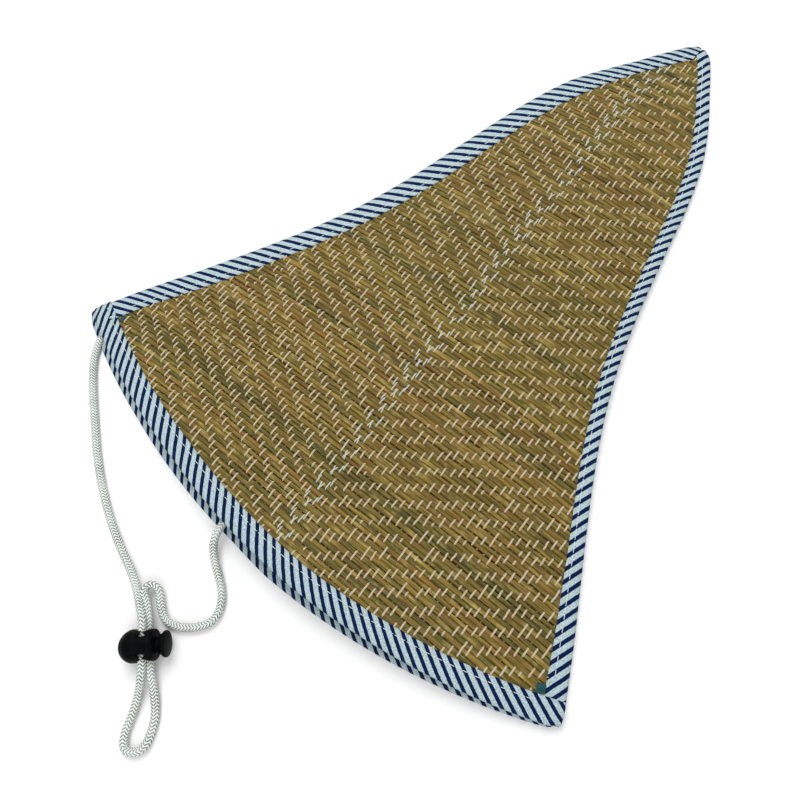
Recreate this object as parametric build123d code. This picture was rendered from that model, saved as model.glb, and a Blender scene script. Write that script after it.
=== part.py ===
from build123d import *
import os
from math import atan2, cos, degrees, pi, radians, sin, sqrt, tan

# Foldable conical hat of woven sedge mat, folded flat. Millimetres, +Z up.
# The origin is under the middle of the folded hat, the point is towards +Y, the brim towards -Y.

# panels
half_width = 175.0          # middle to lower corner
panel_length = 429.0        # point to the middle of the back brim
back_sagitta = 41.0         # depth of the back brim's arc below its corners
front_sagitta = 37.5        # the front brim is cut a little shorter
side_bow = (-1.7, 10.4, 4.2)  # sine terms of the S-curve of each side, outwards
mat_thickness = 1.6
mat_side_inset = 3.0
mat_brim_inset = 0.8
centre_gap = 0.3

# bindings
brim_tape = 12.4            # width of the brim tapes on the mat
left_tape = 14.0            # the side tapes are folded unevenly over the front panel
right_tape = 8.5
under_tape = 9.7            # width of both side tapes under the back panel
tape_thickness = 0.35
tape_wall = 2.4
tape_clearance = 0.3

# folds
fold_lead = 25.0            # the folding axes meet this far beyond the point
fold_clearance = 1.5        # the mats end this far inside the side folds
front_lift = 4.0            # degrees by which the front panel is raised about each side fold

# cord and tabs
cord_diameter = 4.4
cord_floor = cord_diameter / 2 + 0.05
tab_thickness = 0.8

# cord lock
lock_x = -8.4
lock_y = -280.2
lock_radius = 8.2
lock_length = 19.2
lock_bore = 9.4
strand_offset = 4.2         # from the barrel's middle to the middle of the two strands
stem_radius = 6.0
stem_half_width = 3.6
stem_play = 0.2
neck_radius = 3.5           # fits the barrel's slot when the button is pressed
button_radius = 6.6
button_rim = 6.25
button_travel = 1.6
lock_heading = 45.0         # the button points this way, in degrees from +X

apex_y = panel_length / 2
corner_y = back_sagitta - panel_length / 2
chord = sqrt(half_width**2 + (apex_y - corner_y) ** 2)
side_angle = atan2(half_width, apex_y - corner_y)
fold_angle = atan2(half_width, apex_y + fold_lead - corner_y)
layer = 2 * tape_thickness + mat_thickness
fold_z = layer + 0.15
far = 700.0

out_x = -cos(side_angle)
out_y = sin(side_angle)
down_x = -sin(side_angle)
down_y = -cos(side_angle)


def bow(t):
    """How far the side stands outside its straight chord, t running from the point to the corner."""
    return sum(a * sin((i + 1) * pi * t) for i, a in enumerate(side_bow))


def side_point(t, inset):
    reach = bow(t) - inset
    return (t * chord * down_x + reach * out_x, apex_y + t * chord * down_y + reach * out_y)


def bow_slope(t):
    return sum(a * (i + 1) * pi * cos((i + 1) * pi * t) for i, a in enumerate(side_bow)) / chord


def beyond(t, inset, length):
    """A point straight on from the end of the side curve."""
    x, y = side_point(t, inset)
    run_x = down_x + bow_slope(t) * out_x
    run_y = down_y + bow_slope(t) * out_y
    return (x + length * run_x, y + length * run_y)


def inside_side(inset):
    """Everything on the inner side of the left side curve."""
    points = [side_point(k / 12, inset) for k in range(13)]
    top = beyond(0, inset, -60)
    foot = beyond(1, inset, 80)
    edge = [
        Line(top, points[0]),
        Spline(*points),
        Line(points[-1], foot),
        Polyline(foot, (foot[0], -far), (far, -far), (far, far), (top[0], far), top),
    ]
    return make_face(edge)


def brim_disc(sagitta, inset):
    radius = (half_width**2 + sagitta**2) / (2 * sagitta)
    return Pos(0, corner_y - sagitta + radius) * Circle(radius - inset)


def left_of(x):
    return Pos(x - far / 2, 0) * Rectangle(far, 2 * far)


def inside_fold(inset):
    """Everything on the inner side of the left folding axis."""
    tip = (0, apex_y + fold_lead)
    along = (-sin(fold_angle), -cos(fold_angle))
    shift = (inset * cos(fold_angle), -inset * sin(fold_angle))
    a = (tip[0] + shift[0] - 60 * along[0], tip[1] + shift[1] - 60 * along[1])
    b = (tip[0] + shift[0] + far * along[0], tip[1] + shift[1] + far * along[1])
    return make_face(Polyline(a, b, (far, b[1]), (far, a[1]), a))


def slab(face, low, high):
    return Pos(0, 0, low) * extrude(face, high - low)


def mat_half(sagitta, middle):
    panel = inside_side(mat_side_inset) & brim_disc(sagitta, mat_brim_inset)
    return panel & inside_fold(fold_clearance) & left_of(middle)


def brim_band(sagitta, middle, side_tape):
    ring = brim_disc(sagitta, 0) - brim_disc(sagitta, brim_tape)
    return ring & inside_side(side_tape + tape_clearance) & left_of(middle)


def side_band(width, middle):
    strip = inside_side(0) - inside_side(width)
    return strip & brim_disc(back_sagitta, 0) & left_of(middle)


def mat(sagitta, middle):
    return slab(mat_half(sagitta, middle), tape_thickness, tape_thickness + mat_thickness)


def brim_binding(sagitta, middle, side_tape):
    return slab(brim_band(sagitta, middle, side_tape), 0, layer) - mat(sagitta, middle)


def seam_binding(middle, side_tape):
    """Half of the folded tape on a side: its flat leg and half of its outer wall."""
    leg = slab(side_band(side_tape, middle), 0, tape_thickness)
    return leg + slab(side_band(tape_wall, middle), 0, layer - 0.2)


def turned_over(piece):
    """The same piece mirrored to the front panel's level."""
    return mirror(piece, about=Plane.XY.offset(fold_z))


def lifted(piece):
    """Raises a left front piece about the left fold, and trims it at the middle."""
    fold = Axis((0, apex_y + fold_lead, fold_z), (-sin(fold_angle), -cos(fold_angle), 0))
    raised = piece.rotate(fold, front_lift)
    side = Pos(-centre_gap / 2 - far / 2, 0, 0) * Box(far, 2 * far, far)
    return raised & side


def right(piece):
    return mirror(piece, about=Plane.YZ)


def rounded_path(points):
    """Straight runs joined by the largest arcs that they leave room for."""
    corners = [Vector(*p) for p in points]
    radii = []
    for a, b, c in zip(corners, corners[1:], corners[2:]):
        turn = (b - a).get_angle(c - b)
        run = min((b - a).length, (c - b).length)
        radii.append(0.45 * run / tan(radians(turn) / 2))
    print("radii", [round(r, 1) for r in radii])
    return FilletPolyline(*points, radius=radii)


def cord(points):
    path = rounded_path(points)
    section = Plane(path @ 0, z_dir=path % 0) * Circle(cord_diameter / 2)
    tube = sweep(section, path=path)
    print("length", round(path.length, 1))
    print("volume", round(tube.volume, 1), round(pi * cord_diameter**2 / 4 * path.length, 1))
    return tube


def lock_place(across, along, height):
    """A point given from the middle of the barrel: towards the button, down the strands, and up."""
    h = radians(lock_heading)
    x = lock_x + across * cos(h) + along * sin(h)
    y = lock_y + across * sin(h) - along * cos(h)
    return (x, y, height)


# the cord's route, from the left corner to the lock, round the loop, back through the lock,
# over the back brim and between the panels to the right corner
strand_one = [
    (-158.6, -184.0, 2.35),
    (-150.0, -194.8, cord_floor),
    (-137.7, -203.6, cord_floor),
    (-117.5, -218.4, cord_floor),
    (-97.1, -233.8, cord_floor),
    (-73.6, -246.4, cord_floor),
    (-52.2, -254.6, cord_floor),
    (-38.6, -259.4, 3.0),
    (-27.6, -263.6, 6.6),
]
loop = [
    (6.8, -297.8, 4.2),
    (10.9, -307.2, cord_floor),
    (14.3, -316.8, cord_floor),
    (22.4, -321.6, cord_floor),
    (29.2, -314.6, cord_floor),
    (27.3, -304.8, cord_floor),
    (21.0, -297.0, cord_floor),
    (13.2, -290.6, 4.2),
]
strand_two = [
    (-20.9, -262.3, 6.4),
    (-28.6, -257.2, 5.8),
    (-25.2, -249.6, 4.2),
    (-17.2, -252.8, 3.2),
    (-10.2, -260.2, cord_floor),
    (-1.2, -262.2, cord_floor),
    (6.8, -257.2, cord_floor),
    (11.0, -248.8, cord_floor),
    (9.6, -240.0, cord_floor),
    (3.6, -233.6, cord_floor),
    (-4.6, -229.6, 2.6),
    (-11.8, -224.6, 4.6),
    (-17.2, -216.8, 7.8),
    (-19.6, -204.4, 7.9),
    (-15.6, -195.6, 5.4),
    (-8.4, -191.6, 4.5),
    (0.0, -190.4, 4.5),
]
hidden_run = [
    (0.0, -190.4, 4.5),
    (8.4, -189.2, 4.5),
    (24.0, -185.6, 4.5),
    (46.0, -183.4, 4.5),
    (70.0, -178.0, 4.5),
    (88.0, -174.6, 4.5),
    (104.0, -169.6, 4.5),
]
strand_spread = 1.55
strand_rise = 1.75
strand_reach = 13.0


def through_lock(across, height):
    return [lock_place(across, -strand_reach, height), lock_place(across, strand_reach, height)]


outer_route = strand_one
outer_route += through_lock(strand_offset - strand_spread, lock_radius + strand_rise)
outer_route += loop
outer_route += through_lock(strand_offset + strand_spread, lock_radius - strand_rise)[::-1]
outer_route += strand_two


def along_x(radius, low, high):
    rod = Cylinder(radius, high - low, align=(Align.CENTER, Align.CENTER, Align.MIN))
    return Pos(low, 0, 0) * (Rot(0, 90, 0) * rod)


def lock_barrel():
    back = -lock_length / 2
    front = lock_length / 2
    outline = [
        ThreePointArc((back, 0), (back + 2.1, 5.5), (back + 6.6, lock_radius)),
        Line((back + 6.6, lock_radius), (front - 3.4, lock_radius)),
        ThreePointArc((front - 3.4, lock_radius), (front - 1.1, 7.9), (front, 6.9)),
        Polyline((front, 6.9), (front, 0), (back, 0)),
    ]
    body = revolve(make_face(outline), Axis.X)
    cavity = along_x(stem_radius + stem_play, back + 2, front + 1)
    cavity &= Box(2 * lock_length, 2 * (stem_half_width + stem_play), far)
    bore = Pos(strand_offset, 0, 0) * (Rot(90, 0, 0) * Cylinder(lock_bore / 2, far))
    opening = slab(make_face(Polyline((1.0, 4.2), (3.4, 7.0), (6.4, 4.4), (1.0, 4.2))), 0, far)
    return body - cavity - bore - opening - mirror(opening, about=Plane.XZ)


def lock_plunger():
    mouth = lock_length / 2
    inner = -1.6
    outline = [
        Polyline((inner, 0), (inner, stem_radius), (mouth + 0.3, stem_radius), (mouth + 0.3, neck_radius)),
        Polyline((mouth + 0.3, neck_radius), (mouth + 1.8, neck_radius), (mouth + 1.8, 4.9)),
        ThreePointArc((mouth + 1.8, 4.9), (mouth + 3.0, 5.3), (mouth + 4.0, button_rim)),
        ThreePointArc((mouth + 4.0, button_rim), (mouth + 4.9, button_radius), (mouth + 5.7, button_rim)),
        ThreePointArc((mouth + 5.7, button_rim), (mouth + 6.3, 3.8), (mouth + 6.5, 1.2)),
        Polyline((mouth + 6.5, 1.2), (mouth + 6.5, 0), (inner, 0)),
    ]
    body = revolve(make_face(outline), Axis.X)
    flat = Box(mouth + 0.3 - inner, far, far, align=(Align.MIN, Align.MIN, Align.CENTER))
    flat = Pos(inner, stem_half_width, 0) * flat
    body -= flat
    body -= mirror(flat, about=Plane.XZ)
    room = strand_spread + cord_diameter / 2 + stem_play
    height = strand_rise + cord_diameter / 2 + stem_play
    window = Pos(strand_offset + button_travel / 2, 0, 0) * (
        Rot(90, 0, 0) * extrude(RectangleRounded(2 * room + button_travel, 2 * height, 1.9), 20, both=True)
    )
    return body - window


def lock_spring():
    wire = 0.35
    back = 2 + wire - lock_length / 2
    front = -1.6 - wire - 0.1
    path = Helix(pitch=(front - back) / 3, height=front - back, radius=3.2)
    coil = sweep(Plane(path @ 0, z_dir=path % 0) * Circle(wire), path=path, is_frenet=True)
    return Pos(back, 0, 0) * (Rot(0, 90, 0) * coil)


def placed_lock(piece):
    return Pos(lock_x, lock_y, lock_radius) * (Rot(0, 0, lock_heading) * piece)


def flat_tab(x, y, heading, length, width, low, high):
    block = Box(length, width, high - low, align=(Align.MAX, Align.CENTER, Align.MIN))
    return Pos(x, y, low) * (Rot(0, 0, heading) * block)


def end_heading(a, b):
    return degrees(atan2(b[1] - a[1], b[0] - a[0]))


middle = -centre_gap / 2
mat_top = tape_thickness + mat_thickness
tab_left = flat_tab(
    strand_one[0][0],
    strand_one[0][1],
    end_heading(strand_one[0], strand_one[1]),
    14,
    5,
    mat_top,
    mat_top + 0.6,
)
hidden_heading = end_heading(hidden_run[-2], hidden_run[-1])
sleeve_length = 8.0
tab_right = flat_tab(
    hidden_run[-1][0], hidden_run[-1][1], hidden_heading + 180, sleeve_length, 7, mat_top, mat_top + 4.4
)
tab_right += flat_tab(
    hidden_run[-1][0], hidden_run[-1][1], hidden_heading + 180, 46, 7, mat_top, mat_top + tab_thickness
)

nodes = {}
nodes["back_mat_left"] = mat(back_sagitta, middle)
nodes["back_mat_right"] = right(nodes["back_mat_left"])
nodes["front_mat_left"] = lifted(turned_over(mat(front_sagitta, 3)))
nodes["front_mat_right"] = right(nodes["front_mat_left"])
nodes["back_brim_binding_left"] = brim_binding(back_sagitta, middle, under_tape) - tab_left
nodes["back_brim_binding_right"] = right(brim_binding(back_sagitta, middle, under_tape))
nodes["front_brim_binding_left"] = lifted(turned_over(brim_binding(front_sagitta, 3, left_tape)))
nodes["front_brim_binding_right"] = right(lifted(turned_over(brim_binding(front_sagitta, 3, right_tape))))
nodes["left_seam_binding_lower"] = seam_binding(middle, under_tape)
nodes["right_seam_binding_lower"] = right(nodes["left_seam_binding_lower"])
nodes["left_seam_binding_upper"] = lifted(turned_over(seam_binding(3, left_tape)))
nodes["right_seam_binding_upper"] = right(lifted(turned_over(seam_binding(3, right_tape))))
nodes["cord_tab_left"] = tab_left
nodes["cord_tab_right"] = tab_right
nodes["chin_cord"] = cord(outer_route)
nodes["chin_cord_hidden_end"] = cord(hidden_run)
nodes["cord_lock_barrel"] = placed_lock(lock_barrel())
nodes["cord_lock_plunger"] = placed_lock(lock_plunger())
nodes["cord_lock_spring"] = placed_lock(lock_spring())

os.makedirs("parts", exist_ok=True)
for name, solid in nodes.items():
    export_step(solid, f"parts/{name}.step")
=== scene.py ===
from math import atan2, cos, hypot, pi, radians, sin

import bpy
import numpy as np
from mathutils import Matrix, Vector


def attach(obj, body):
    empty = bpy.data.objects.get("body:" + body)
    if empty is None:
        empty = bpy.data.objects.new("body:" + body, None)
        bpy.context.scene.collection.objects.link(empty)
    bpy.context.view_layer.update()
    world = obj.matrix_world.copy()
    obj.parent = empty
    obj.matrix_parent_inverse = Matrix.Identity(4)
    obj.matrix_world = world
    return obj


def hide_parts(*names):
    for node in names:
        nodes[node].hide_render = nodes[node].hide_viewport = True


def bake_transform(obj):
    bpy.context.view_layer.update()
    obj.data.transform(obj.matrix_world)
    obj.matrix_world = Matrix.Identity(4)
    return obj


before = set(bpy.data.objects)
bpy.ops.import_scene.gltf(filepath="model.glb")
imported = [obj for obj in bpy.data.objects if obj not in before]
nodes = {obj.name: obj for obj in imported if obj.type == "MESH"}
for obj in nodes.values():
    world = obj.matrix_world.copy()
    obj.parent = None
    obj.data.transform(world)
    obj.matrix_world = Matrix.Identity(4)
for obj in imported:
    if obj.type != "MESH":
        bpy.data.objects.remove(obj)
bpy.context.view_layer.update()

MM = 0.001

# ---------------------------------------------------------------- dimensions, in mm, as in part.py
HALF_WIDTH = 175.0
APEX_Y = 214.5
CORNER_Y = -173.5
FRONT_SAGITTA = 37.5
BACK_SAGITTA = 41.0
SIDE_BOW = (-1.7, 10.4, 4.2)
BRIM_TAPE = 12.4
LEFT_TAPE = 14.0
RIGHT_TAPE = 8.5
UNDER_TAPE = 9.7
FOLD_LEAD = 25.0
FOLD_Z = 2.45
CHORD = hypot(HALF_WIDTH, APEX_Y - CORNER_Y)
SIDE_ANGLE = atan2(HALF_WIDTH, APEX_Y - CORNER_Y)
FOLD_ANGLE = atan2(HALF_WIDTH, APEX_Y + FOLD_LEAD - CORNER_Y)
ARCH = 0.0290


# ---------------------------------------------------------------- camera
def make_camera():
    az, el, roll = radians(51.39), radians(71.45), -0.197
    back = Vector((cos(el) * sin(az), -cos(el) * cos(az), sin(el)))
    right = Vector((cos(az), sin(az), 0))
    up = back.cross(right)
    side = cos(roll) * right + sin(roll) * up
    top = -sin(roll) * right + cos(roll) * up
    place = Vector((105.2, -174.4, 376.4)) * MM
    turn = Matrix((side, top, back)).transposed().to_4x4()
    data = bpy.data.cameras.new("camera")
    data.sensor_width = 36.0
    data.lens = 707.9 * 36.0 / 800
    data.clip_start = 0.01
    data.clip_end = 20
    cam = bpy.data.objects.new("camera", data)
    cam.matrix_world = Matrix.Translation(place) @ turn
    bpy.context.scene.collection.objects.link(cam)
    bpy.context.scene.camera = cam


make_camera()


# ---------------------------------------------------------------- materials
def colour(r, g, b):
    def part(c):
        c = c / 255
        return c / 12.92 if c <= 0.04045 else ((c + 0.055) / 1.055) ** 2.4

    return (part(r), part(g), part(b), 1.0)


class Paint:
    """A material with its node tree, and short ways to add nodes to it."""

    def __init__(self, name, roughness, specular=0.5, sheen=0.0):
        self.mat = bpy.data.materials.new(name)
        self.mat.use_nodes = True
        self.tree = self.mat.node_tree
        self.surface = self.tree.nodes["Principled BSDF"]
        self.surface.inputs["Roughness"].default_value = roughness
        self.surface.inputs["Specular IOR Level"].default_value = specular
        self.surface.inputs["Sheen Weight"].default_value = sheen
        self.surface.inputs["Sheen Roughness"].default_value = 0.5

    def put(self, socket, value):
        if isinstance(value, bpy.types.NodeSocket):
            self.tree.links.new(value, socket)
        else:
            socket.default_value = value

    def math(self, how, a, b=0.0, c=0.0):
        node = self.tree.nodes.new("ShaderNodeMath")
        node.operation = how
        for socket, value in zip(node.inputs, (a, b, c)):
            self.put(socket, value)
        return node.outputs[0]

    def uv(self, name):
        node = self.tree.nodes.new("ShaderNodeUVMap")
        node.uv_map = name
        split = self.tree.nodes.new("ShaderNodeSeparateXYZ")
        self.tree.links.new(node.outputs[0], split.inputs[0])
        return split.outputs[0], split.outputs[1]

    def attribute(self, name):
        node = self.tree.nodes.new("ShaderNodeAttribute")
        node.attribute_name = name
        split = self.tree.nodes.new("ShaderNodeSeparateColor")
        self.tree.links.new(node.outputs["Color"], split.inputs[0])
        return split.outputs[0], split.outputs[1], split.outputs[2]

    def vector(self, x, y, z=0.0):
        node = self.tree.nodes.new("ShaderNodeCombineXYZ")
        for socket, value in zip(node.inputs, (x, y, z)):
            self.put(socket, value)
        return node.outputs[0]

    def place(self):
        return self.tree.nodes.new("ShaderNodeTexCoord").outputs["Object"]

    def noise(self, vector, scale, detail=2.0, rough=0.5):
        node = self.tree.nodes.new("ShaderNodeTexNoise")
        self.put(node.inputs["Vector"], vector)
        node.inputs["Scale"].default_value = scale
        node.inputs["Detail"].default_value = detail
        node.inputs["Roughness"].default_value = rough
        return node.outputs["Fac"]

    def span(self, value, low, high, to_low=0.0, to_high=1.0):
        node = self.tree.nodes.new("ShaderNodeMapRange")
        for k, v in zip(range(5), (value, low, high, to_low, to_high)):
            self.put(node.inputs[k], v)
        return node.outputs[0]

    def ramp(self, value, stops):
        node = self.tree.nodes.new("ShaderNodeValToRGB")
        while len(node.color_ramp.elements) < len(stops):
            node.color_ramp.elements.new(0.5)
        for element, (position, tint) in zip(node.color_ramp.elements, stops):
            element.position = position
            element.color = tint
        self.put(node.inputs[0], value)
        return node.outputs[0]

    def mix(self, how, factor, a, b):
        node = self.tree.nodes.new("ShaderNodeMix")
        node.data_type = "RGBA"
        node.blend_type = how
        self.put(node.inputs[0], factor)
        self.put(node.inputs[6], a)
        self.put(node.inputs[7], b)
        return node.outputs[2]

    def grey(self, value):
        node = self.tree.nodes.new("ShaderNodeCombineColor")
        for socket in node.inputs:
            self.put(socket, value)
        return node.outputs[0]

    def bump(self, height, strength, distance):
        node = self.tree.nodes.new("ShaderNodeBump")
        node.inputs["Strength"].default_value = strength
        node.inputs["Distance"].default_value = distance
        self.put(node.inputs["Height"], height)
        self.tree.links.new(node.outputs[0], self.surface.inputs["Normal"])

    def finish(self, tint, rough=None):
        self.put(self.surface.inputs["Base Color"], tint)
        if rough is not None:
            self.put(self.surface.inputs["Roughness"], rough)
        return self.mat


def sedge_paint():
    p = Paint("sedge", 0.5, 0.3)
    u, v = p.uv("along")
    hue, light, shift = p.attribute("straw")
    base = p.ramp(hue, [
        (0.0, colour(104, 98, 37)),
        (0.25, colour(126, 109, 42)),
        (0.55, colour(139, 118, 49)),
        (0.75, colour(117, 95, 35)),
        (0.90, colour(148, 124, 54)),
        (0.96, colour(136, 100, 38)),
        (1.0, colour(174, 152, 76)),
    ])
    seed = p.math("MULTIPLY", shift, 40.0)
    streak = p.noise(p.vector(p.math("MULTIPLY", u, 0.30), p.math("MULTIPLY", v, 9.0), seed), 2.2, 3.0, 0.6)
    blotch = p.noise(p.vector(p.math("MULTIPLY", u, 0.8), v, p.math("ADD", seed, 9.0)), 1.3, 3.0, 0.6)
    base = p.mix("MIX", p.span(blotch, 0.52, 0.68, 0.0, 0.85), base, colour(177, 155, 85))
    base = p.mix("MIX", p.span(blotch, 0.42, 0.26, 0.0, 0.7), base, colour(140, 92, 32))
    tone = p.span(streak, 0.36, 0.64, 0.30, 1.26)
    tone = p.math("MULTIPLY", tone, p.span(light, 0.0, 1.0, 0.78, 1.14))
    base = p.mix("MULTIPLY", 1.0, base, p.grey(tone))
    fibre = p.noise(p.vector(p.math("MULTIPLY", u, 0.15), p.math("MULTIPLY", v, 16.0), seed), 3.0, 3.0, 0.7)
    p.bump(p.math("ADD", fibre, streak), 0.7, 0.0003)
    return p.finish(base, p.span(fibre, 0.3, 0.7, 0.42, 0.7))


def thread_paint(name, tint, dark, second=None):
    p = Paint(name, 0.75, 0.3, 0.25)
    u, v = p.uv("along")
    ply = p.math("SINE", p.math("ADD", p.math("MULTIPLY", u, 9.0), p.math("MULTIPLY", v, 2 * pi)))
    soft = p.noise(p.vector(u, v, 0.0), 3.0, 2.0)
    # painted shade: the dark colour goes into the grooves of the ply twist, where the bump is low, mixed with
    # random mottle
    base = p.mix("MIX", p.span(p.math("ADD", ply, soft), -0.6, 1.6, 0.0, 1.0), dark, tint)
    if second:
        share = p.attribute("straw")[0]
        base = p.mix("MIX", p.math("MULTIPLY", share, p.span(soft, 0.35, 0.6, 0.5, 1.0)), base, second)
    p.bump(ply, 0.5, 0.0001)
    return p.finish(base)


def tape_paint():
    p = Paint("striped_tape", 0.85, 0.12, 0.0)
    stripe, _ = p.uv("stripe")
    u, v = p.uv("cloth")
    wobble = p.noise(p.vector(u, v, 0.0), 0.5, 2.0)
    edge = p.math("ADD", stripe, p.span(wobble, 0.0, 1.0, -0.05, 0.05))
    share = p.math("ABSOLUTE", p.math("SUBTRACT", p.math("FRACT", edge), 0.5))
    navy = p.span(share, 0.232, 0.206, 0.0, 1.0)
    mottle = p.noise(p.vector(u, v, 3.0), 1.3, 4.0, 0.8)
    pale = p.mix("MIX", p.span(mottle, 0.36, 0.66), colour(136, 162, 164), colour(212, 230, 234))
    dark = p.mix("MIX", p.span(mottle, 0.3, 0.7), colour(0, 12, 50), colour(2, 34, 88))
    base = p.mix("MIX", navy, pale, dark)
    warp = p.math("SINE", p.math("MULTIPLY", p.math("ADD", u, v), 2 * pi * 2.3))
    weft = p.math("SINE", p.math("MULTIPLY", p.math("SUBTRACT", u, v), 2 * pi * 2.3))
    weave = p.math("MULTIPLY", warp, weft)
    # painted shade where the weave's bump is low, with a faint painted highlight where it is high
    base = p.mix("MULTIPLY", 1.0, base, p.grey(p.span(weave, -1.0, 1.0, 0.9, 1.04)))
    p.bump(p.math("ADD", p.math("MULTIPLY", weave, 0.5), mottle), 0.5, 0.00012)
    return p.finish(base)


def cloth_paint(name, tint, dark):
    p = Paint(name, 0.85, 0.25, 0.2)
    where = p.place()
    weave = p.noise(where, 2600.0, 1.0)
    mottle = p.noise(where, 500.0, 3.0)
    base = p.mix("MIX", p.span(mottle, 0.3, 0.7), dark, tint)
    p.bump(p.math("ADD", weave, mottle), 0.6, 0.0002)
    return p.finish(base)


CORD_COLUMNS = 4
CHEVRON = 1.7


def cord_paint():
    """A round braid of white strands in columns of chevrons, with painted shade in the grooves between the
    chevrons and dark-grey flecks set in those grooves.
    """
    p = Paint("braided_cord", 0.75, 0.25, 0.1)
    u, v = p.uv("along")
    zig = p.math("ABSOLUTE", p.math("SUBTRACT", p.math("FRACT", p.math("MULTIPLY", v, CORD_COLUMNS)), 0.5))
    phase = p.math("FRACT", p.math("ADD", p.math("DIVIDE", u, CHEVRON), p.math("MULTIPLY", zig, 1.9)))
    ridge = p.math("SINE", p.math("MULTIPLY", phase, pi))
    across = p.math("MINIMUM", p.span(zig, 0.015, 0.06, 0.0, 1.0), p.span(zig, 0.49, 0.43, 0.0, 1.0))
    patch = p.noise(p.vector(u, v, 0.0), 0.07, 3.0, 0.6)
    fleck = p.math("MULTIPLY", p.span(ridge, 0.80, 0.55, 0.0, 1.0), across)
    fleck = p.math("MULTIPLY", fleck, p.span(patch, 0.34, 0.62, 0.45, 1.0))
    # painted shade: darker in the grooves between the chevron ridges, lighter on their crests
    base = p.mix("MIX", p.span(ridge, 0.2, 0.9), colour(196, 204, 198), colour(236, 242, 236))
    base = p.mix("MIX", fleck, base, colour(66, 80, 74))
    p.bump(p.math("MULTIPLY", ridge, p.span(zig, 0.0, 0.12, 0.4, 1.0)), 0.8, 0.00025)
    return p.finish(base)


def plastic_paint():
    p = Paint("black_plastic", 0.45, 0.04)
    where = p.place()
    grain = p.noise(where, 1800.0, 2.0)
    dust = p.noise(where, 240.0, 3.0, 0.7)
    base = p.mix("MIX", p.span(dust, 0.35, 0.7), colour(2, 3, 4), colour(8, 10, 11))
    p.bump(grain, 0.25, 0.0001)
    return p.finish(base, p.span(dust, 0.3, 0.7, 0.38, 0.55))


def steel_paint():
    p = Paint("spring_wire", 0.3)
    p.surface.inputs["Metallic"].default_value = 1.0
    drawn = p.noise(p.place(), 900.0, 2.0)
    base = p.mix("MIX", drawn, colour(150, 152, 156), colour(205, 207, 210))
    return p.finish(base, p.span(drawn, 0.3, 0.7, 0.2, 0.4))


def floor_paint():
    p = Paint("floor", 0.9, 0.1)
    return p.finish(p.mix("MIX", p.noise(p.place(), 3.0), colour(246, 246, 246), colour(250, 250, 250)))


SEDGE = sedge_paint()
# each thread's second colour is its painted shade in the ply grooves, mixed with random mottle
WARP = thread_paint("warp_thread", colour(222, 204, 172), colour(168, 146, 108), colour(190, 198, 184))
STITCH = thread_paint("stitch_thread", colour(248, 250, 250), colour(206, 214, 216))
STRIPED = tape_paint()
TEAL = cloth_paint("teal_cloth", colour(18, 84, 86), colour(8, 56, 60))
CORD = cord_paint()
PLASTIC = plastic_paint()
STEEL = steel_paint()
FLOOR = floor_paint()


# ---------------------------------------------------------------- mesh building
def make_mesh(name, points, faces, material, uvs=None, straw=None):
    """points in mm; uvs is a dict of per-point UV pairs; straw is a per-point colour."""
    mesh = bpy.data.meshes.new(name)
    mesh.from_pydata((np.asarray(points, float) * MM).tolist(), [], faces)
    corner = np.zeros(len(mesh.loops), np.int32)
    mesh.loops.foreach_get("vertex_index", corner)
    for key, pairs in (uvs or {}).items():
        layer = mesh.uv_layers.new(name=key)
        layer.data.foreach_set("uv", np.asarray(pairs, np.float32)[corner].ravel())
    if straw is not None:
        tint = mesh.color_attributes.new("straw", "FLOAT_COLOR", "POINT")
        tint.data.foreach_set("color", np.asarray(straw, np.float32).ravel())
    mesh.polygons.foreach_set("use_smooth", [True] * len(mesh.polygons))
    mesh.materials.append(material)
    mesh.update()
    obj = bpy.data.objects.new(name, mesh)
    bpy.context.scene.collection.objects.link(obj)
    return obj


class Heap:
    """Collects many small grids into one mesh."""

    def __init__(self):
        self.points, self.faces, self.uvs, self.tints, self.count = [], [], {}, [], 0

    def grid(self, rows, uvs, tint=None, round_section=True, caps=True):
        """rows[i][j] is a point; j goes round the section."""
        rows = np.asarray(rows, float)
        n, m = rows.shape[:2]
        start = self.count
        self.points.append(rows.reshape(-1, 3))
        for key, pairs in uvs.items():
            self.uvs.setdefault(key, []).append(np.asarray(pairs, float).reshape(-1, 2))
        if tint is not None:
            self.tints.append(np.tile(tint, (n * m, 1)))
        i = np.arange(n - 1)[:, None] * m
        j = np.arange(m if round_section else m - 1)[None, :]
        k = (j + 1) % m
        quads = np.stack([i + j, i + k, i + m + k, i + m + j], -1).reshape(-1, 4) + start
        self.faces.extend(quads.tolist())
        if round_section and caps:
            self.faces.append([start + x for x in range(m)][::-1])
            self.faces.append([start + (n - 1) * m + x for x in range(m)])
        self.count += n * m

    def make(self, name, material):
        uvs = {k: np.concatenate(v) for k, v in self.uvs.items()}
        tints = np.concatenate(self.tints) if self.tints else None
        return make_mesh(name, np.concatenate(self.points), self.faces, material, uvs, tints)


def tube_rows(line, radius, sides, flat=1.0, taper=False):
    """Rings round a line, square to it, with the section's second axis kept towards +Z."""
    line = np.asarray(line, float)
    run = np.gradient(line, axis=0)
    run /= np.linalg.norm(run, axis=1)[:, None]
    side = np.cross(run, (0, 0, 1.0))
    side /= np.linalg.norm(side, axis=1)[:, None] + 1e-12
    up = np.cross(side, run)
    angle = np.arange(sides) * 2 * pi / sides
    size = np.full(len(line), radius, float)
    if taper:
        size[0] *= 0.35
        size[-1] *= 0.35
    ring = side[:, None] * np.cos(angle)[None, :, None] + flat * up[:, None] * np.sin(angle)[None, :, None]
    return line[:, None] + ring * size[:, None, None]


def tube_uv(line, sides, unit=1.0, start=0.0):
    step = np.linalg.norm(np.diff(line, axis=0), axis=1)
    along = np.concatenate([[0], np.cumsum(step)]) * unit + start
    pairs = np.zeros((len(line), sides, 2))
    pairs[..., 0] = along[:, None]
    pairs[..., 1] = np.arange(sides)[None] / sides
    return pairs


# ---------------------------------------------------------------- the hat's outline
def bow(t):
    return sum(a * np.sin((i + 1) * pi * t) for i, a in enumerate(SIDE_BOW))


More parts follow.
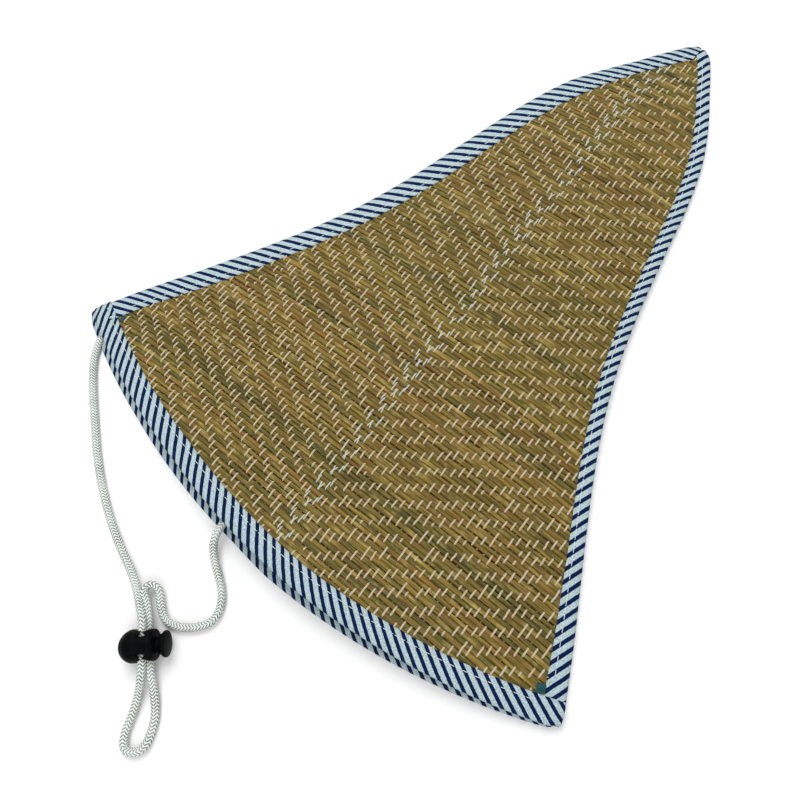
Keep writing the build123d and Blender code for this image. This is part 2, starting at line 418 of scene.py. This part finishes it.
def side_point(t, inset):
    """On the left side curve, t from the point to the corner."""
    reach = bow(t) - inset
    x = -t * CHORD * sin(SIDE_ANGLE) - reach * cos(SIDE_ANGLE)
    y = APEX_Y - t * CHORD * cos(SIDE_ANGLE) + reach * sin(SIDE_ANGLE)
    return x, y


SIDE_T = np.linspace(-0.06, 1.06, 900)


def side_x(y, inset):
    """Half the width between the side curves at height y."""
    x, level = side_point(SIDE_T, inset)
    return np.interp(-np.asarray(y), -level, -x)


def brim_radius(sagitta):
    return (HALF_WIDTH**2 + sagitta**2) / (2 * sagitta)


def brim_y(sagitta, inset, x):
    radius = brim_radius(sagitta)
    centre = CORNER_Y - sagitta + radius
    return centre - np.sqrt((radius - inset) ** 2 - np.asarray(x) ** 2)


# how far the sewn edges stand inside the plain outline: brims by x, sides from the point down
FRONT_BRIM_TRIM = [(-175, 3), (-125, 5), (-60, 5), (30, 1.5), (175, 1)]
BACK_BRIM_TRIM = [(-175, 0.5), (-100, 2), (-10, 1.5), (15, 0), (175, 0)]
LEFT_TRIM = [(0, 2), (0.1, 4), (0.2, 0), (0.45, 0), (0.6, 1), (0.9, 1.5), (1, 0)]
RIGHT_TRIM = [(0, -1), (0.2, -1), (0.35, 1), (0.6, 0.5), (0.9, -0.5), (1, 0)]


# the width of each side's tape on the front panel, as a share of its usual width, from the point down
LEFT_WIDTH = [(0, 0.85), (0.1, 0.8), (0.2, 1.05), (0.45, 1.1), (0.6, 1.0), (1, 1.0)]
RIGHT_WIDTH = [(0, 1.1), (0.5, 0.95), (0.8, 1.05), (1, 1.4)]


def table(stops, value):
    return np.interp(value, [a for a, _ in stops], [b for _, b in stops])


def fade(distance, full, none):
    k = np.clip((distance - full) / (none - full), 0, 1)
    return 1 - k * k * (3 - 2 * k)


def trimmed(x, y, front):
    """Moves points near the edges as the sewn edges lie; front runs from 0, the back panel, to 1."""
    down = (APEX_Y - y) / (APEX_Y - CORNER_Y)
    half = side_x(y, 0)
    from_left = (x + half) * cos(SIDE_ANGLE)
    from_right = (half - x) * cos(SIDE_ANGLE)
    left = table(LEFT_TRIM, down) * fade(from_left, 16, 50)
    right = table(RIGHT_TRIM, down) * fade(from_right, 16, 50)
    from_brim = y - brim_y(FRONT_SAGITTA, 0, np.clip(x, -175, 175))
    brim = front * table(FRONT_BRIM_TRIM, x) + (1 - front) * table(BACK_BRIM_TRIM, x)
    return (x + (left - right) * cos(SIDE_ANGLE),
            y - (left + right) * sin(SIDE_ANGLE) + brim * fade(from_brim, 16, 80))


TIP_Y = 198.0               # the folded tape rounds the point from here up
TIP_REACH = 16              # and stays within this of it
CORNER_REACH = 60           # the left corner is drawn in over this distance


def blunt(x, y, front):
    """Rounds the sharp point and the left corner as the folded tape does."""
    x, y = np.asarray(x, float), np.asarray(y, float)
    x, y = trimmed(x, y, front)
    over = np.maximum(y - TIP_Y, 0)
    y = np.where(y > TIP_Y, TIP_Y + TIP_REACH * (1 - np.exp(-over / TIP_REACH)), y)
    x = np.where(over > 0, x * (1 + 0.012 * over), x)
    near = np.clip(1 - np.hypot(x + HALF_WIDTH, y - CORNER_Y) / CORNER_REACH, 0, 1)
    x = x + (0.6 + 2.4 * front) * near * near * (3 - 2 * near)
    return x, y


def rise(x, y):
    """How far the front panel arches above its flat place."""
    x, y = np.asarray(x, float), np.asarray(y, float)
    down = APEX_Y + FOLD_LEAD - y
    far = np.hypot(x, down)
    share = np.arctan2(np.abs(x), down) / FOLD_ANGLE
    lift = ARCH * far * np.clip(1 - share**2, 0, None)
    wave = 0.5 * np.sin(x / 31 + y / 47) * np.clip(1 - share**2, 0, 1)
    return lift + wave * np.clip(far / 300, 0, 1)


# ---------------------------------------------------------------- the mats
STRAW_PITCH = 2.8
WARP_PITCH = 3.75


def weave_point(q, p):
    """q runs along the straws and p across them; the mat lies a little askew in the panel."""
    x = np.array(q, float) + 0 * np.asarray(p, float)
    y = np.array(p, float) + 0 * np.asarray(q, float)
    for _ in range(6):
        x, y = q + (-0.064 + 0.000171 * q) * y, p + 0.064 * x - 0.0001943 * x * x
    return x, y


def inside(x, y, sagitta, brim, left, right):
    wide = (x > -side_x(y, left)) & (x < side_x(y, right))
    return wide & (y > brim_y(sagitta, brim, np.clip(x, -174, 174)))


def bare(x, y, front, margin):
    """Where the mat shows between the tapes."""
    if front:
        left = LEFT_TAPE * table(LEFT_WIDTH, SIDE_T) - margin
        right = RIGHT_TAPE * table(RIGHT_WIDTH, SIDE_T) - margin
        return inside(x, y, FRONT_SAGITTA, BRIM_TAPE - margin, left, right)
    return inside(x, y, BACK_SAGITTA, BRIM_TAPE - margin, UNDER_TAPE - margin, UNDER_TAPE - margin)


def longest(mask):
    """First and last index of the longest stretch that is inside."""
    best, start = (0, -1), None
    for k, here in enumerate(list(mask) + [False]):
        if here and start is None:
            start = k
        if not here and start is not None:
            if k - 1 - start > best[1] - best[0]:
                best = (start, k - 1)
            start = None
    return best


def straw_edges(rng):
    edges = [-232.0]
    while edges[-1] < 212:
        edges.append(edges[-1] + STRAW_PITCH * rng.uniform(0.78, 1.22))
    return np.array(edges)


def mat_level(front, x, y):
    return 3.75 + rise(x, y) if front else 1.15 + 0 * np.asarray(x)


def build_straws(name, front, sagitta, edges, rng):
    heap = Heap()
    fine = np.arange(-196, 196, 1.0)
    angle = np.arange(8) * 2 * pi / 8 + pi / 8
    for k in range(len(edges) - 1):
        middle = (edges[k] + edges[k + 1]) / 2
        width = edges[k + 1] - edges[k]
        x, y = weave_point(fine, middle)
        first, last = longest(inside(x, y, sagitta, 3.6, 3.6, 3.6))
        if last - first < 4:
            continue
        q = np.linspace(fine[first], fine[last], max(3, int((last - first) / 4.5)))
        sway = rng.uniform(0, 2 * pi, 4)
        wander = 0.14 * np.sin(q / 23 + sway[0]) + 0.10 * np.sin(q / 9 + sway[1])
        swell = 1 + 0.07 * np.sin(q / 15 + sway[2])
        lift = 0.10 * np.sin(q / 12 + sway[3]) + rng.uniform(-0.10, 0.10)
        rows = np.zeros((len(q), 8, 3))
        high = 0.80 * rng.uniform(0.85, 1.12)
        for j, a in enumerate(angle):
            across = 0.5 * width * 0.99 * cos(a) * swell
            xx, yy = weave_point(q, middle + wander + across)
            tall = np.where(bare(xx, yy, front, 0.5), high, 0.76 * high)
            xx, yy = blunt(xx, yy, float(front))
            rows[:, j, 0] = xx
            rows[:, j, 1] = yy
            rows[:, j, 2] = mat_level(front, xx, yy) + lift * 0.6 + tall * sin(a)
        pairs = np.zeros((len(q), 8, 2))
        pairs[..., 0] = q[:, None] / 10
        pairs[..., 1] = np.arange(8)[None] / 8 + k * 0.37
        tint = (rng.uniform(), rng.uniform(), rng.uniform(), 1.0)
        heap.grid(rows, {"along": pairs}, tint)
    return heap.make(name, SEDGE)


def warp_places(rng):
    """Each warp thread's place along the straws, its steps from the centre line, its swing and its kind."""
    middle = -1.0
    found = []
    for sign in (-1, 1):
        found.append((middle, 0, 0.6 * sign, True))
        found += [(middle + sign * 3.1, 1, 0.0, True), (middle + sign * 3.9, 2, 0.0, True)]
        for k in range(2, 60):
            found.append((middle + sign * (k * WARP_PITCH - 0.3) + rng.uniform(-0.3, 0.3), k, 0.0, False))
    return found


THREAD_STEPS = np.array([0.05, 0.32, 0.68, 0.95])
THREAD_RADIUS = 0.55
BUNCH_RADIUS = 0.44         # the paired threads beside the centre line are finer
THREAD_LIFT = 0.92          # how far a thread rises over a straw and sinks under it
THREAD_FLAT = 0.62


def thread_heights(over):
    """Height of a thread at four places on each straw it crosses."""
    high = []
    for k, up in enumerate(over):
        before, after = over[max(k - 1, 0)], over[min(k + 1, len(over) - 1)]
        if up:
            high += [1.0 if before else -0.1, 1.0, 1.0, 1.0 if after else -0.1]
        else:
            high += [-0.9] * 4
    return np.array(high)


def build_warp(name, front, edges, rng):
    """The warp threads of one panel, going over and under its straws."""
    heap = Heap()
    p = (edges[:-1, None] + THREAD_STEPS * np.diff(edges)[:, None]).ravel()
    count = len(edges) - 1
    for q, steps, cross, whole in warp_places(rng):
        turn = (np.arange(count) - steps) % 4
        chance = rng.uniform(0, 1, count)
        over = (turn < 2) & ~((turn == 1) & (chance < 0.10)) | (turn == 2) & (chance > 0.86)
        if whole:
            over = turn < 2
        high = thread_heights(over.tolist())
        step = np.repeat(np.arange(count), 4) + np.tile(THREAD_STEPS, count)
        lean = 0.35 * np.sin(p / 17 + rng.uniform(0, 6)) + np.repeat(rng.uniform(-0.12, 0.12, count), 4)
        x, y = weave_point(q + lean + cross * np.sin(pi / 2 * (step - 1)), p)
        first, last = longest(bare(x, y, front, 0.4))
        if last - first < 6:
            continue
        x, y, high = x[first:last + 1], y[first:last + 1], high[first:last + 1]
        x, y = blunt(x, y, float(front))
        line = np.stack([x, y, mat_level(front, x, y) + THREAD_LIFT * high], 1)
        tint = (1.0 if whole else rng.uniform(0, 0.35), 0, 0, 1)
        rows = tube_rows(line, BUNCH_RADIUS if whole else THREAD_RADIUS, 6, THREAD_FLAT)
        heap.grid(rows, {"along": tube_uv(line, 6)}, tint)
    return heap.make(name, WARP)


def build_mat(side, front, sagitta, seed):
    """The straws and the warp threads of one panel."""
    rng = np.random.default_rng(seed)
    edges = straw_edges(rng)
    straws = build_straws(side + "_mat_straws", front, sagitta, edges, rng)
    warp = build_warp(side + "_mat_warp", front, edges, rng)
    return straws, warp


# ---------------------------------------------------------------- the bindings
SECTION_WIDTH = 9.7         # the width that both tape sections below are written for
BRIM_STRIPE = 6.4           # the stripes' spacing along each tape
LEFT_STRIPE = 6.8
RIGHT_STRIPE = 6.4


def panel_profile(low, high):
    """Section of the tape round one panel's edge: inset from the edge and height."""
    middle = (low + high) / 2
    upper = [(9.7, high - 0.18), (8.6, high - 0.10), (7.1, high - 0.30), (5.4, high + 0.02),
             (3.4, high + 0.06), (1.6, high - 0.12), (0.5, high - 0.50)]
    upper = [(o * BRIM_TAPE / SECTION_WIDTH, z) for o, z in upper]
    return upper + [(0.0, middle)] + [(o, low + high - z) for o, z in upper[::-1]]


def seam_profile(over):
    """Section of the tape round both panels' edges; over is its width on the front panel."""
    upper = [(9.7, 4.72), (8.4, 4.86), (6.6, 4.62), (5.0, 4.92),
             (3.2, 4.98), (1.5, 4.70), (0.45, 3.95), (0.0, 2.9)]
    return [(o * over / SECTION_WIDTH, z) for o, z in upper] + [(o, 4.9 - z) for o, z in upper[::-1]]


def thickened(profile, thick=0.35):
    """The tape's outer line and, going back, its inner line."""
    line = np.array(profile, float)
    run = np.gradient(line, axis=0)
    run /= np.linalg.norm(run, axis=1)[:, None]
    inner = line + thick * np.stack([-run[:, 1], run[:, 0]], 1) * (1 if line[0, 1] > line[-1, 1] else -1)
    return np.concatenate([line, inner[::-1]])


def profile_run(section, outer):
    """Distance across the tape for each point of the section, from its first edge."""
    step = np.linalg.norm(np.diff(section[:outer], axis=0), axis=1)
    along = np.concatenate([[0], np.cumsum(step)])
    back = along[::-1]
    return np.concatenate([along, back])[:len(section)]


def ripple(u, seed):
    """Small puckers of a sewn tape."""
    puckers = 0.05 * np.sin(2 * pi * u / 3.1 + seed) + 0.07 * np.sin(u / 7.3 + 2 * seed)
    return puckers + 0.05 * np.sin(u / 3.9 + seed)


def brim_tape(name, front, sagitta):
    low, high = (2.6, 4.9) if front else (0.0, 2.3)
    profile = panel_profile(low, high)
    section = thickened(profile)
    inset, height = section[:, 0], section[:, 1]
    share = np.linspace(0, 1, 361)
    ends = []
    for o in inset:
        y = -170.0
        for _ in range(12):
            x = side_x(y, 0.3)
            y = brim_y(sagitta, o, min(x, 174.5))
        ends.append(min(float(x), 174.5))
    ends = np.array(ends)
    x = ends[None] * (2 * share[:, None] - 1)
    y = brim_y(sagitta, inset[None], x)
    radius = brim_radius(sagitta)
    u = radius * np.arcsin(x / radius)
    gap = side_x(y, 0) - np.abs(x)
    over = np.clip(1 - gap / 17, 0, 1)
    puck = ripple(u, 1.3 if front else 4.1) * np.clip(inset / 3, 0, 1)
    z = height[None] + (0.45 * np.clip(over * 3, 0, 1) + puck if front else np.abs(puck) * (height > 1.1))
    if not front:
        z = np.maximum(z, 0.0)
    round_off = np.clip(1 - gap / 4.0, 0, 1)
    middle = (low + high) / 2
    z = middle + (z - middle) * np.sqrt(np.clip(1 - 0.8 * round_off**2, 0, 1))
    px, py = corner_round(x, y)
    px, py = blunt(px, py, float(front))
    if front:
        z = z + rise(px, py)
    rows = np.stack([px, py, z], -1)
    across = profile_run(section, len(profile))[None] + 0 * x
    slant = np.interp(x, [-175, -60, 0, 60, 175], [0.85, 0.88, 0.95, 1.3, 1.5])
    stripe = (np.where(u < -60, -60 + (u + 60) * 0.88, u) + slant * inset[None]) / BRIM_STRIPE
    heap = Heap()
    heap.grid(rows, {"stripe": np.stack([stripe, across / 10], -1), "cloth": np.stack([u, across], -1)})
    return heap.make(name, STRIPED)


def corner_round(x, y):
    """Draws the tape's outer corner in, as the folded cloth rounds it."""
    near = np.clip(1 - np.hypot(np.abs(x) - HALF_WIDTH, y - CORNER_Y) / 9, 0, 1)
    pull = 1.8 * near * near * (3 - 2 * near)
    return x - np.sign(x) * pull * 0.8, y + pull * 0.6


def seam_tape(name, mirrored, profile, top_end=0.992, low_end=0.966):
    """The folded tape along a side, from the mitre at the point to the corner."""
    section = thickened(profile)
    inset, height = section[:, 0], section[:, 1]
    widths = RIGHT_WIDTH if mirrored else LEFT_WIDTH
    starts = []
    for o, high in zip(inset, height):
        x, _ = side_point(SIDE_T, o * (table(widths, SIDE_T) if high > FOLD_Z else 1.0))
        starts.append(np.interp(0.12, -x[60:], SIDE_T[60:]) if (-x[60:] > 0.12).any() else 0)
    starts = np.array(starts)
    ends = np.where(height > FOLD_Z - 1.0, top_end, low_end)
    share = np.linspace(0, 1, 421)[:, None]
    t = starts[None] + (ends - starts)[None] * share
    wide = table(widths, t)
    reach = inset[None] * np.where(height[None] > FOLD_Z, wide, 1.0)
    x, y = side_point(t, reach)
    u = t * CHORD
    x, y = corner_round(x, y)
    flip = 1 if not mirrored else -1
    x = x * flip
    x, y = blunt(x, y, np.clip((height[None] - 1.5) / 2, 0, 1))
    z = height[None] + ripple(u, 0.7 + 2 * mirrored) * (height > 3.4) * np.clip(inset / 3, 0, 1)
    z = z + np.where(height[None] > 2.4, rise(x, y), 0) * np.clip((height[None] - 2.4) / 2.0, 0, 1)
    z = np.maximum(z, 0.0)
    rows = np.stack([x, y, z], -1)
    if mirrored:
        rows = rows[:, ::-1]
        reach, u = reach[:, ::-1], u[:, ::-1]
        across = profile_run(section, len(profile))[::-1][None] + 0 * u
        stripe = (-u + 1.0 * reach) / RIGHT_STRIPE
    else:
        across = profile_run(section, len(profile))[None] + 0 * u
        stripe = (-u - 1.05 * reach) / LEFT_STRIPE
    heap = Heap()
    heap.grid(rows, {"stripe": np.stack([stripe, across / 10], -1), "cloth": np.stack([u, across], -1)})
    return heap.make(name, STRIPED)


def stitch_row(heap, line, out, pitch=3.3, length=2.75, radius=0.17):
    """Lockstitches along a line of points; out is +1 where they lie on top and -1 beneath."""
    line = np.asarray(line, float)
    step = np.linalg.norm(np.diff(line, axis=0), axis=1)
    along = np.concatenate([[0], np.cumsum(step)])
    for start in np.arange(1.0, along[-1] - pitch, pitch):
        s = start + length * np.array([0, 0.12, 0.5, 0.88, 1.0])
        points = np.stack([np.interp(s, along, line[:, k]) for k in range(3)], 1)
        points[:, 2] += out * np.array([-0.30, 0.06, 0.14, 0.06, -0.30])
        heap.grid(tube_rows(points, radius, 5), {"along": tube_uv(points, 5)})


def brim_stitches(name, front, sagitta):
    """The two rows of lockstitches along one brim."""
    heap = Heap()
    x = np.linspace(-156, 156, 400)
    for top in (True, False):
        y = brim_y(sagitta, 9.1, x)
        px, py = blunt(x, y, float(front))
        if front:
            z = (4.60 if top else 2.90) + rise(px, py)
        else:
            z = np.full(len(x), 2.0 if top else 0.30)
        stitch_row(heap, np.stack([px, py, z], 1), 1 if top else -0.6)
    return heap.make(name, STITCH)


def seam_stitches(name, mirrored, inset, top, bottom):
    """Lockstitches along one side; on top they follow the tape's uneven width."""
    heap = Heap()
    t = np.linspace(0.045, 0.955, 500)
    wide = table(RIGHT_WIDTH if mirrored else LEFT_WIDTH, t) if top else 1.0
    x, y = side_point(t, inset * wide)
    x, y = blunt(x * (-1 if mirrored else 1), y, float(top))
    if top:
        stitch_row(heap, np.stack([x, y, 4.62 + rise(x, y)], 1), 1)
    if bottom:
        stitch_row(heap, np.stack([x, y, np.full(len(x), 0.28)], 1), -0.6)
    return heap.make(name, STITCH)


# ---------------------------------------------------------------- the cord
# the CAD cord's route from the left corner, with points moved and added to lie as in the photo
FLOOR_Z = 2.25
CORD_ROUTE = [
    (-154.4, -179.2, 2.35), (-151.5, -186.7, FLOOR_Z), (-141.1, -198.4, FLOOR_Z), (-120.3, -215.0, FLOOR_Z),
    (-99.5, -231.1, FLOOR_Z), (-76.2, -245.0, FLOOR_Z), (-54.8, -254.3, FLOOR_Z), (-38.0, -259.2, 3.0),
    (-26.3, -264.2, 6.6), (-15.9, -269.3, 9.95), (-13.0, -272.1, 9.95), (2.9, -287.2, 9.95),
    (7.1, -295.6, 4.2), (11.4, -304.9, FLOOR_Z), (15.6, -315.7, FLOOR_Z), (21.4, -320.0, FLOOR_Z),
    (28.3, -313.1, FLOOR_Z), (23.3, -301.4, FLOOR_Z), (18.0, -295.5, FLOOR_Z), (11.3, -289.8, 4.2),
    (4.8, -285.4, 6.45), (-12.4, -269.9, 6.45), (-15.4, -267.2, 6.45), (-21.5, -262.6, 6.4),
    (-27.2, -260.6, 6.1), (-27.2, -255.8, 5.2), (-21.6, -254.6, 4.2), (-15.6, -260.4, 3.2),
    (-8.0, -264.3, FLOOR_Z), (-0.7, -261.9, FLOOR_Z), (6.4, -256.1, FLOOR_Z), (11.4, -248.3, FLOOR_Z),
    (9.2, -240.2, FLOOR_Z), (3.5, -233.8, FLOOR_Z), (-4.4, -229.3, 2.6), (-13.1, -223.4, 4.6),
    (-17.7, -216.6, 7.8), (-19.6, -204.4, 7.9), (-15.6, -195.6, 5.4), (-8.4, -191.6, 4.5),
    (0.0, -190.4, 4.5), (8.4, -189.2, 4.5), (24.0, -185.6, 4.5), (46.0, -183.4, 4.5), (70.0, -178.0, 4.5),
    (88.0, -174.6, 4.5), (104.0, -169.6, 4.5),
]
CORD_DIAMETER = 4.4


def spline_points(name, route):
    """The points of the route's NURBS spline, in mm."""
    data = bpy.data.curves.new(name, "CURVE")
    data.dimensions = "3D"
    spline = data.splines.new("NURBS")
    spline.points.add(len(route) - 1)
    for point, place in zip(spline.points, route):
        point.co = (place[0] * MM, place[1] * MM, place[2] * MM, 1)
    spline.order_u = 3
    spline.use_endpoint_u = True
    spline.resolution_u = 40
    holder = bpy.data.objects.new(name, data)
    bpy.context.scene.collection.objects.link(holder)
    bpy.context.view_layer.update()
    mesh = bpy.data.meshes.new_from_object(holder)
    found = np.array([v.co for v in mesh.vertices], float) / MM
    bpy.data.meshes.remove(mesh)
    bpy.data.objects.remove(holder)
    bpy.data.curves.remove(data)
    return found


def even(line, step):
    line = np.asarray(line, float)
    gap = np.linalg.norm(np.diff(line, axis=0), axis=1)
    keep = np.concatenate([[True], gap > 1e-6])
    line = line[keep]
    along = np.concatenate([[0], np.cumsum(np.linalg.norm(np.diff(line, axis=0), axis=1))])
    s = np.linspace(0, along[-1], int(along[-1] / step) + 1)
    return np.stack([np.interp(s, along, line[:, k]) for k in range(3)], 1), s


def carried_frames(line):
    """Side and up directions carried along the line without twist."""
    run = np.gradient(line, axis=0)
    run /= np.linalg.norm(run, axis=1)[:, None]
    side = np.zeros_like(line)
    side[0] = np.cross(run[0], (0, 0, 1))
    side[0] /= np.linalg.norm(side[0])
    for k in range(1, len(line)):
        s = side[k - 1] - run[k] * (side[k - 1] @ run[k])
        side[k] = s / np.linalg.norm(s)
    return side, np.cross(side, run)


def build_cord():
    line, s = even(spline_points("cord_route", CORD_ROUTE), 0.5)
    side, up = carried_frames(line)
    sides = 32
    v = np.arange(sides) / sides
    zig = np.abs((v * CORD_COLUMNS) % 1 - 0.5)
    radius = (CORD_DIAMETER / 2 - 0.12 + 0.12 * np.sin(pi * zig / 0.5))[None, :, None]
    ring = side[:, None] * np.cos(2 * pi * v)[None, :, None] + up[:, None] * np.sin(2 * pi * v)[None, :, None]
    rows = line[:, None] + ring * radius
    pairs = np.stack(np.broadcast_arrays(s[:, None], v[None]), -1)
    heap = Heap()
    heap.grid(rows, {"along": pairs})
    return heap.make("cord_braid", CORD), line


# ---------------------------------------------------------------- small cloth pieces
def cloth_strip(name, centre, heading, length, width, low, thick, material, frayed=False, seed=0):
    """A short strip of cloth with softened edges, its upper side a little crowned."""
    rng = np.random.default_rng(seed)
    n, m = 15, 9
    h = radians(heading)
    upper, lower = [], []
    for i in range(n):
        row, under = [], []
        for j in range(m):
            a = (i / (n - 1) - 0.5) * length
            b = (j / (m - 1) - 0.5) * width
            edge = min(i, n - 1 - i, j, m - 1 - j)
            if frayed and edge == 0:
                a += rng.uniform(-0.25, 0.25)
                b += rng.uniform(-0.25, 0.25)
            crown = thick * (1.0 if edge else 0.55) + (0.12 * sin(i * 1.1) if edge else 0)
            x = centre[0] + a * cos(h) - b * sin(h)
            y = centre[1] + a * sin(h) + b * cos(h)
            base = low(x, y) if callable(low) else low
            row.append((x, y, base + crown))
            under.append((x, y, base))
        upper.append(row)
        lower.append(under)
    points = np.concatenate([np.array(upper).reshape(-1, 3), np.array(lower).reshape(-1, 3)])
    faces = []
    size = n * m
    for i in range(n - 1):
        for j in range(m - 1):
            k = i * m + j
            faces.append((k, k + m, k + m + 1, k + 1))
            faces.append((size + k, size + k + 1, size + k + m + 1, size + k + m))
    rim = [j for j in range(m)] + [i * m + m - 1 for i in range(1, n)]
    rim += [(n - 1) * m + j for j in range(m - 2, -1, -1)] + [i * m for i in range(n - 2, 0, -1)]
    for k in range(len(rim)):
        p, q = rim[k], rim[(k + 1) % len(rim)]
        faces.append((p, q, size + q, size + p))
    return make_mesh(name, points, faces, material)


# ---------------------------------------------------------------- build
def pair_blend(obj):
    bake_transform(obj)


cord, cord_line = build_cord()
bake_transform(cord)
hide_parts("chin_cord", "chin_cord_hidden_end")

front_straws, front_warp = build_mat("front", True, FRONT_SAGITTA, 11)
back_straws, back_warp = build_mat("back", False, BACK_SAGITTA, 23)
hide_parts("front_mat_left", "front_mat_right")
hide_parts("back_mat_left", "back_mat_right")

front_brim = brim_tape("front_brim_tape", True, FRONT_SAGITTA)
back_brim = brim_tape("back_brim_tape", False, BACK_SAGITTA)
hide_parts("front_brim_binding_left", "front_brim_binding_right")
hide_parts("back_brim_binding_left", "back_brim_binding_right")
front_brim_thread = brim_stitches("front_brim_stitches", True, FRONT_SAGITTA)
back_brim_thread = brim_stitches("back_brim_stitches", False, BACK_SAGITTA)

left_seam = seam_tape("left_seam_tape", False, seam_profile(LEFT_TAPE))
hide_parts("left_seam_binding_lower", "left_seam_binding_upper")
whole = seam_profile(RIGHT_TAPE)
half = len(whole) // 2
upper_half = whole[:half] + [(0.0, 2.5)]
lower_half = [(0.0, 2.4)] + whole[half:]
right_upper = seam_tape("right_seam_tape_upper", True, upper_half)
right_lower = seam_tape("right_seam_tape_lower", True, lower_half)
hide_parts("right_seam_binding_upper")
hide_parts("right_seam_binding_lower")
left_thread_top = seam_stitches("left_seam_stitches_top", False, 10.2, True, False)
left_thread_low = seam_stitches("left_seam_stitches_low", False, 6.6, False, True)
right_thread_top = seam_stitches("right_seam_stitches_top", True, 5.8, True, False)
right_thread_low = seam_stitches("right_seam_stitches_low", True, 6.6, False, True)

for piece in (front_straws, front_warp, front_brim, front_brim_thread):
    pair_blend(piece)
for piece in (back_straws, back_warp, back_brim, back_brim_thread):
    pair_blend(piece)
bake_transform(left_seam)
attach(left_thread_top, "front_left")
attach(left_thread_low, "back_left")
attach(right_upper, "front_right")
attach(right_thread_top, "front_right")
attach(right_lower, "back_right")
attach(right_thread_low, "back_right")


def over_front(x, y):
    return 4.75 + float(rise(x, y))


teal_left = cloth_strip("teal_patch_left", (-150.3, -163.1), 100, 3.8, 2.4, over_front, 0.35, TEAL, True, 1)
teal_right = cloth_strip("teal_patch_right", (155.6, -164.3), 116, 4.6, 4.4, over_front, 0.4, TEAL, True, 2)
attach(teal_left, "front_left")
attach(teal_right, "front_right")

tab_left = cloth_strip("cord_tab_cloth_left", (-158.2, -170.4), -51.5, 7.0, 4.4, 1.95, 0.55, TEAL, True, 3)
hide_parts("cord_tab_left")
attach(tab_left, "back_left")
tab_right = cloth_strip("cord_tab_cloth_right", (127.0, -162.4), 17.4, 44.0, 6.8, 1.95, 0.75, TEAL, True, 4)


def build_sleeve():
    """The rolled cloth that grips the hidden end of the cord."""
    line, _ = even([(103.6, -169.7, 4.4), (108.0, -168.4, 4.4), (112.4, -167.0, 4.2)], 0.5)
    rows = tube_rows(line, 2.45, 20)
    squeeze = 1 - 0.12 * np.sin(np.linspace(0, pi * 3, len(line))) ** 2
    rows = line[:, None] + (rows - line[:, None]) * squeeze[:, None, None]
    rows[..., 2] = np.maximum(rows[..., 2], 1.98)
    heap = Heap()
    heap.grid(rows, {"along": tube_uv(line, 20)})
    return heap.make("cord_tab_sleeve", TEAL)


sleeve = build_sleeve()
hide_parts("cord_tab_right")
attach(tab_right, "back_right")
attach(sleeve, "back_right")


def repaint(node, material):
    nodes[node].data.materials.clear()
    nodes[node].data.materials.append(material)


repaint("cord_lock_barrel", PLASTIC)
repaint("cord_lock_plunger", PLASTIC)
repaint("cord_lock_spring", STEEL)


# ---------------------------------------------------------------- floor and light
def make_floor():
    n = 24
    grid = [((i / n - 0.5) * 6000, (j / n - 0.5) * 6000, -0.02) for i in range(n + 1) for j in range(n + 1)]
    faces = [(i * (n + 1) + j, (i + 1) * (n + 1) + j, (i + 1) * (n + 1) + j + 1, i * (n + 1) + j + 1)
             for i in range(n) for j in range(n)]
    return make_mesh("floor", grid, faces, FLOOR)


make_floor()


def area_light(name, place, target, size, power):
    data = bpy.data.lights.new(name, "AREA")
    data.shape = "SQUARE"
    data.size = size
    data.energy = power
    lamp = bpy.data.objects.new(name, data)
    lamp.location = place
    lamp.rotation_euler = (Vector(target) - Vector(place)).to_track_quat("-Z", "Y").to_euler()
    bpy.context.scene.collection.objects.link(lamp)


area_light("key", (-0.6, 0.35, 1.2), (0, 0, 0), 0.9, 13)
area_light("fill", (0.7, -0.9, 1.2), (0, 0, 0), 1.0, 7.5)
world = bpy.data.worlds.new("studio")
world.use_nodes = True
world.node_tree.nodes["Background"].inputs[0].default_value = (1, 1, 1, 1)
world.node_tree.nodes["Background"].inputs[1].default_value = 0.52
bpy.context.scene.world = world
bpy.context.scene.view_settings.view_transform = "Standard"
